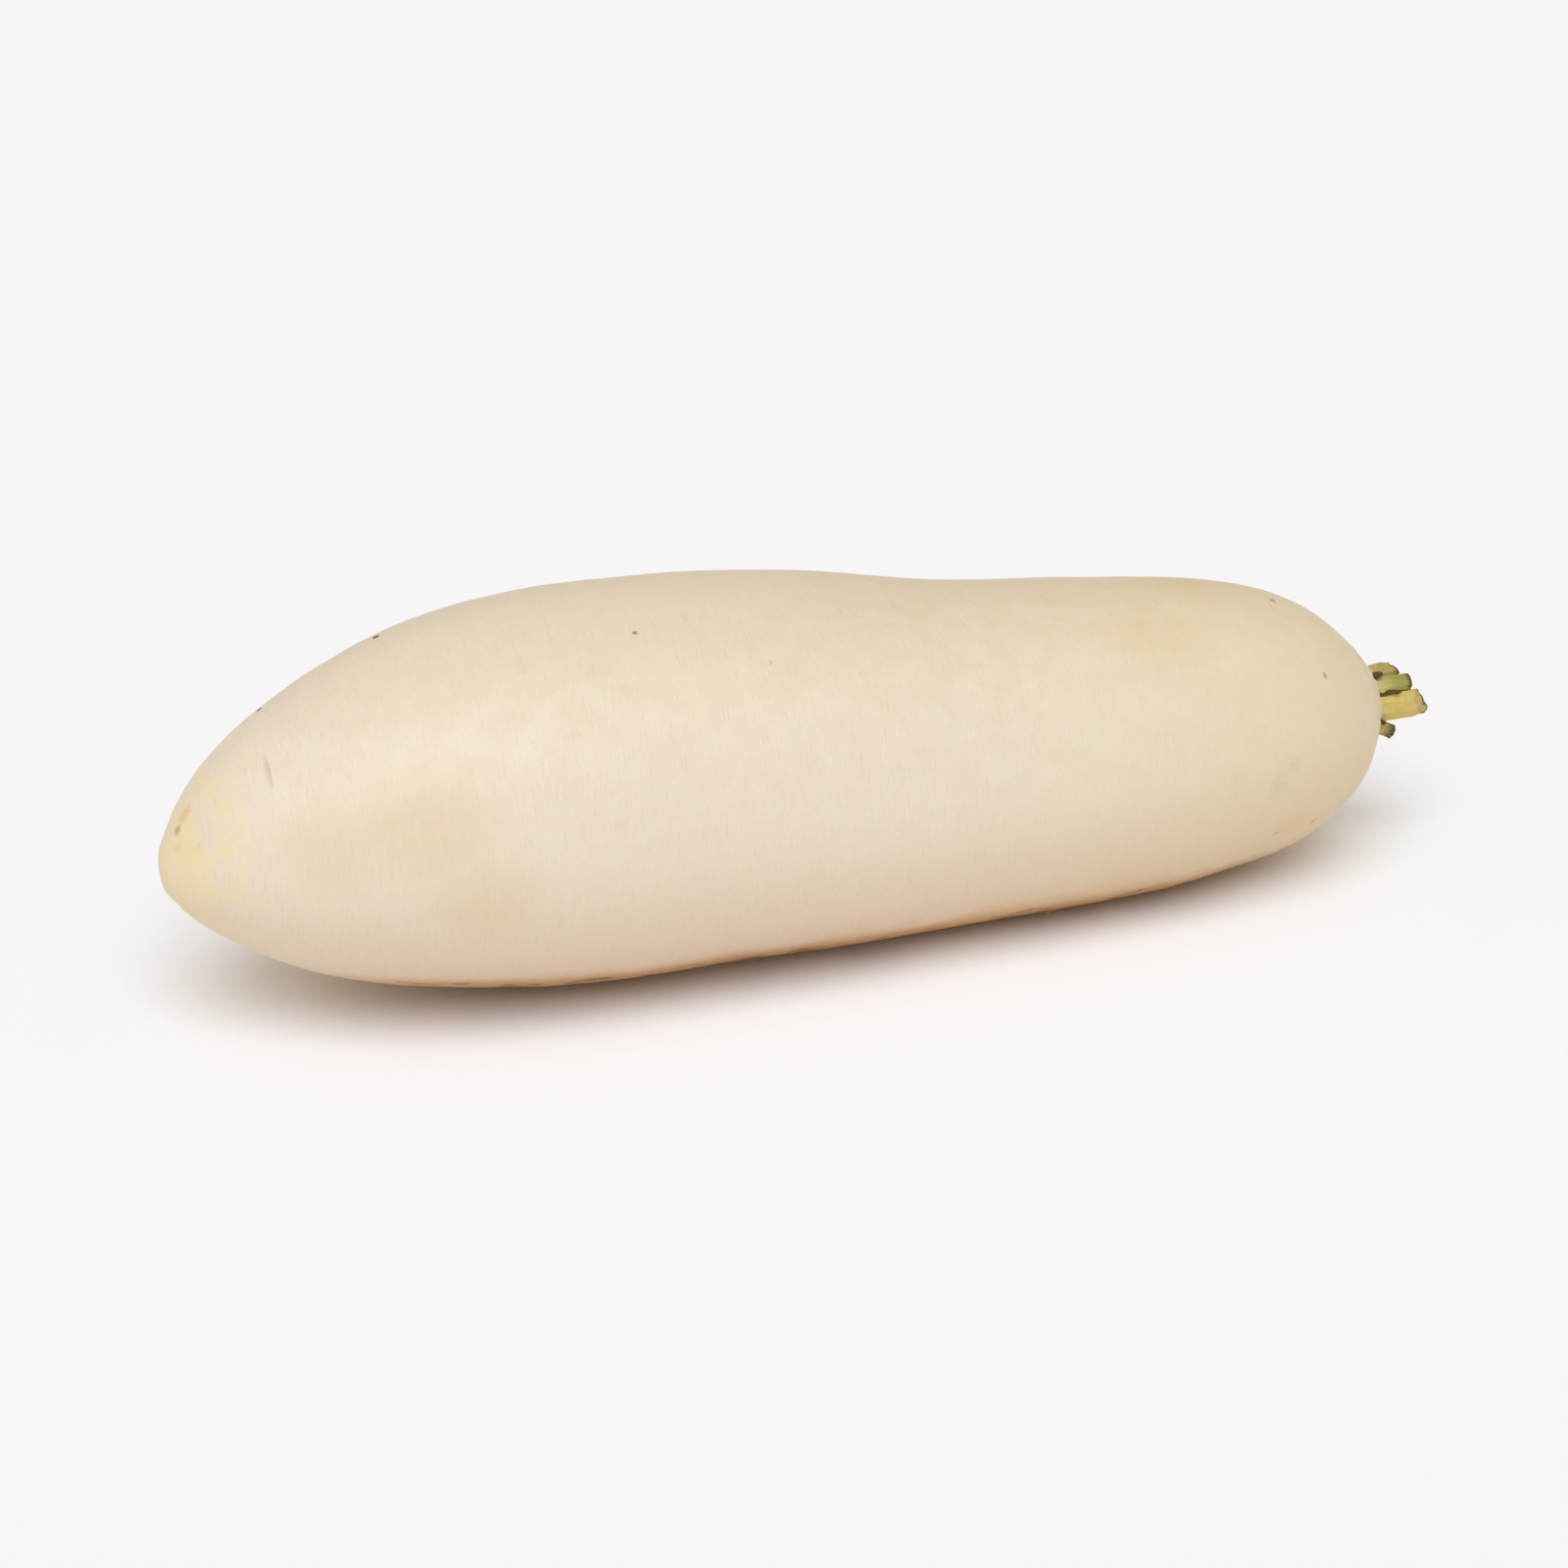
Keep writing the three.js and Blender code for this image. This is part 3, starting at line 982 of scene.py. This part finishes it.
def make_stalk(order, seat, length, width, thickness, lean, straighten, slant, skew, died, look):
    """One stalk, grown up +Z from a round section, then cut, and laid into place at the end."""
    width, thickness, length = width * MM, thickness * MM, length * MM
    bpy.ops.object.select_all(action="DESELECT")
    bpy.ops.mesh.primitive_circle_add(vertices=STALK_SIDES, radius=1, fill_type="NGON")
    piece = added(f"leaf_stalk_{order + 1}")
    grow_stalk(piece, length, width, thickness, lean, straighten)

    # The knife's cut slopes from back to front and from side to side.
    end, onwards = stalk_spine(length, lean, straighten)
    backwards = Vector((0, onwards.z, -onwards.y))
    slope = (onwards + backwards * slant + Vector((1, 0, 0)) * skew).normalized()
    cut_stalk(piece, end, slope)
    subdivide(piece, 2)

    def below_cut(point):
        return (end - point).dot(slope)

    top = max(vertex.co.dot(onwards) for vertex in piece.data.vertices)

    def died_back(point):
        """The skin has died back from the cut, and most from its highest point."""
        down = 0.7 * below_cut(point) + 0.3 * (top - point.dot(onwards))
        return 1 - down / (died * MM)

    pith = [sum(group.weight for group in vertex.groups) for vertex in piece.data.vertices]
    paint(piece, "pith", pith)
    paint_by_place(piece, "along", lambda point: 1 - below_cut(point) / length)
    paint_by_place(piece, "died", died_back)
    paint_by_place(piece, "margin", lambda point: smooth(abs(point.x) * 5 / width - 1.5))
    piece.vertex_groups.clear()
    # It is a little lumpy, and has fine ridges down its length.
    roughen(piece, 2.6 * MM, 0.5 * MM)
    roughen(piece, 1.0, 0.3 * MM, stretch=(0.6 * MM, 0.6 * MM, 7 * MM))
    lay_on_stem(piece, OLDEST_AT - order * GOLDEN_ANGLE, seat * MM - thickness / 2)
    dress(piece, STALK_LOOKS[look], "leaf_stalks")


def make_scale(order, angle, out, length, width, lean):
    """One papery scale: a strip that narrows to a torn tip and curls round the stem."""
    width, length = width * MM, length * MM
    bpy.ops.object.select_all(action="DESELECT")
    bpy.ops.mesh.primitive_grid_add(x_subdivisions=5, y_subdivisions=7, size=1)
    piece = added(f"leaf_scale_{order + 1}")
    with editing(piece):
        bpy.ops.mesh.select_all(action="SELECT")
        bpy.ops.transform.translate(value=(0, 0.5, 0))
        bpy.ops.transform.resize(value=(width, length, 1), center_override=(0, 0, 0))
        for share, narrow in SCALE_TAPER:
            pick(piece, "verts", lambda vert: vert.co.y > share * length)
            bpy.ops.transform.resize(value=(narrow, 1, 1), center_override=(0, 0, 0))
        # Its edges curl in, and its tip bends to one side and back.
        pick(piece, "verts", lambda vert: abs(vert.co.x) > 0.3 * width)
        bpy.ops.transform.translate(value=(0, 0, 0.5 * MM))
        pick(piece, "verts", lambda vert: vert.co.y > 0.8 * length)
        bpy.ops.transform.translate(value=(0.2 * width, 0, -0.5 * MM))
        # It is stood up to its lean.
        upright = -math.radians(90 - lean)
        bpy.ops.mesh.select_all(action="SELECT")
        bpy.ops.transform.rotate(value=upright, orient_axis="X", center_override=(0, 0, 0))
    modify(piece, "SOLIDIFY", thickness=SCALE_THICKNESS, offset=0)
    subdivide(piece, 3)
    roughen(piece, 1.6 * MM, 0.7 * MM)
    lay_on_stem(piece, math.radians(angle), out * MM)
    dress(piece, SCALE, "leaf_stalks")


# ------------------------------------------------------------------ side roots


def make_rootlet(name, place, normal, thick, length, steps, wander):
    """One side root, torn off short, or a hair: it leaves the skin square and then wanders."""
    bpy.ops.object.select_all(action="DESELECT")
    bpy.ops.mesh.primitive_circle_add(vertices=8, radius=0.75 * thick, fill_type="NGON")
    piece = added(name)
    way = Vector((0, 0, 1))
    spine = Vector((0, 0, 0))
    with editing(piece):
        bpy.ops.mesh.select_all(action="SELECT")
        for n in range(steps):
            onwards = way * length / steps
            bpy.ops.mesh.extrude_region_move(TRANSFORM_OT_translate={"value": onwards})
            spine += onwards
            # It narrows quickly from its broad foot, and then slowly.
            narrow = 0.72 if n == 0 else 0.88
            bpy.ops.transform.resize(value=(narrow, narrow, narrow), center_override=spine)
            way += Vector((random.uniform(-wander, wander), random.uniform(-wander, wander), 0))
            way.normalize()
        # The torn end is a little hollow.
        bpy.ops.mesh.inset(thickness=0.15 * thick)
        bpy.ops.transform.translate(value=way * -0.15 * thick)
        bpy.ops.mesh.select_all(action="SELECT")
        bpy.ops.mesh.normals_make_consistent(inside=False)
    subdivide(piece, 2)
    foot = place - normal * 0.4 * thick  # a little below the skin
    turned = normal.to_track_quat("Z", "Y").to_matrix().to_4x4()
    piece.matrix_world = Matrix.Translation(foot) @ turned
    settle(piece)
    return piece


def make_side_roots(form, scars):
    """Stubs of side roots and the hairs that are left in the scars, joined as one piece."""
    pieces = []
    for from_tip, angle, thick, length in STUBS:
        place, normal = on_root(form, from_tip * MM, math.radians(angle))
        pieces.append(make_rootlet("stub", place, normal, thick * MM, length * MM, 3, 0.25))
    # Hairs are left on the back, where there is room for them above the surface that the root
    # lies on.
    clear = [scar for scar in scars if scar.normal.y > 0 and scar.place.z > LOWEST_HAIR]
    for _ in range(HAIRS):
        scar = random.choice(clear)
        place = scar.place + scar.sideways * random.uniform(-0.4, 0.4) * scar.across
        thick = random.uniform(*HAIR_THICKNESS) * MM
        length = random.uniform(*HAIR_LENGTH) * min(HAIR_ROOM, scar.place.z)
        pieces.append(make_rootlet("hair", place, scar.normal, thick, length, 7, 0.4))
    bpy.ops.object.select_all(action="DESELECT")
    for piece in pieces:
        piece.select_set(True)
    bpy.context.view_layer.objects.active = pieces[0]
    bpy.ops.object.join()
    side_roots = bpy.context.object
    side_roots.name = "side_roots"
    roughen(side_roots, 0.8 * MM, 0.12 * MM)
    dress(side_roots, CORK, "root")


# ------------------------------------------------------------------ floor, light and camera


def way_to(azimuth, elevation):
    """The way to something at these angles in degrees. Azimuth 0 is in front of the root, and
    grows anticlockwise as seen from above."""
    turn, rise = math.radians(azimuth), math.radians(elevation)
    flat = math.cos(rise)
    return Vector((math.sin(turn) * flat, -math.cos(turn) * flat, math.sin(rise)))


def put(name, data, place, way):
    """Puts a light or a camera into the scene, with its back turned this way."""
    holder = bpy.data.objects.new(name, data)
    holder.location = place
    holder.rotation_euler = way.to_track_quat("Z", "Y").to_euler()
    scene.collection.objects.link(holder)
    return holder


def make_floor():
    """Plain white paper, just clear of the underside of the root."""
    bpy.ops.object.select_all(action="DESELECT")
    bpy.ops.mesh.primitive_circle_add(
        vertices=96, radius=3, fill_type="NGON", location=(0, 0, -0.05 * MM)
    )
    floor = added("floor")
    material, tree, surface = new_material("floor_paper_white")
    feed(tree, surface, {
        "Base Color": "#fafafa",
        "Roughness": 0.9,
        "Specular IOR Level": 0.2,
    })
    floor.data.materials.append(material)


def make_softbox(name, azimuth, elevation, spread, strength, colour):
    """Even, soft light from this way, as from a bank of softboxes that fills this many degrees
    of the sky."""
    lamp = bpy.data.lights.new(name, "SUN")
    lamp.angle = math.radians(spread)
    lamp.energy = strength
    lamp.color = linear(colour)[:3]
    way = way_to(azimuth, elevation)
    put(name, lamp, way, way)


def make_camera(azimuth, elevation, distance, target, lens):
    """A camera that looks at the target from this way, with a lens in mm on a full frame."""
    body = bpy.data.cameras.new("camera")
    body.lens = lens
    body.sensor_width = 36
    way = way_to(azimuth, elevation)
    scene.camera = put("camera", body, target + way * distance, way)


def light_room(colour, strength):
    """Even light from all round, a little warm, from the walls of the room."""
    world = bpy.data.worlds.new("room")
    scene.world = world
    world.use_nodes = True
    tree = world.node_tree
    feed(tree, tree.nodes["Background"], {"Color": colour, "Strength": strength})


# ------------------------------------------------------------------ the whole

form = smooth_root()
scars = scar_marks(form)
make_skin(form, scars)
make_stem()
for order, stalk in enumerate(STALKS):
    make_stalk(order, *stalk)
for order, scale in enumerate(SCALES):
    make_scale(order, *scale)
make_side_roots(form, scars)
bpy.data.objects.remove(form)

make_floor()
# The camera stands to the left of the front and looks down on the root.
make_camera(-20, 23, 852.7 * MM, Vector((TIP_X + 145.18 * MM, 0, 36.79 * MM)), lens=85)
make_softbox("key", -22, 56, spread=50, strength=2.15, colour="#e6f0ff")
light_room("#fef1e2", 0.54)
scene.view_settings.view_transform = "Standard"
